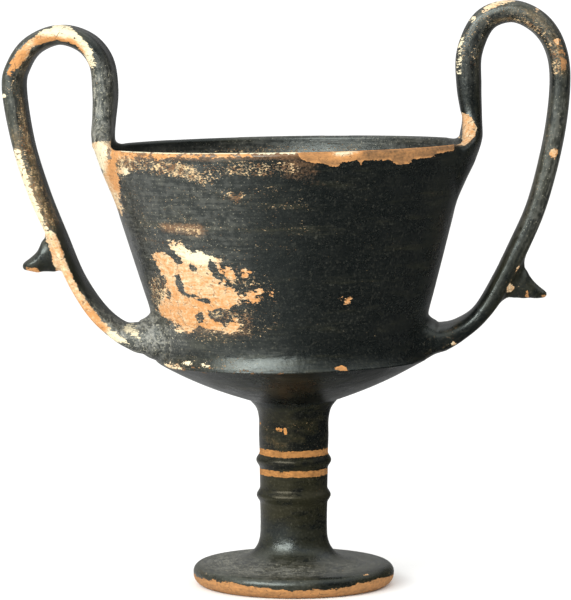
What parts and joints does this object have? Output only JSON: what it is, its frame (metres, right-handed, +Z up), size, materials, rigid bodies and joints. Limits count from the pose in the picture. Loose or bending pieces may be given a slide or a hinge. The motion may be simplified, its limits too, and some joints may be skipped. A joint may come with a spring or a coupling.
{
  "type": "two-handled drinking cup",
  "caption": "Deep flaring drinking cup of black-glossed fired clay on a tall ringed stem and disc foot, with high looped strap handles that carry spurs.",
  "frame": {"origin": "on the table plane, under the middle of the cup's bounding box; the stem's axis stands 3.65 mm to the +X side of it, because the bowl leans towards -X", "axes": "+Z up along the stem; X runs through both handles, +X to the taller handle; +Y is away from the side that was seen"},
  "size_m": [0.2489, 0.1628, 0.2575],
  "materials": {
    "black_gloss_clay": "glossy black slip fired onto terracotta, worn through to bare clay in places"
  },
  "bodies": {
    "root": {"kantharos": "black_gloss_clay"}
  },
  "joints": []
}
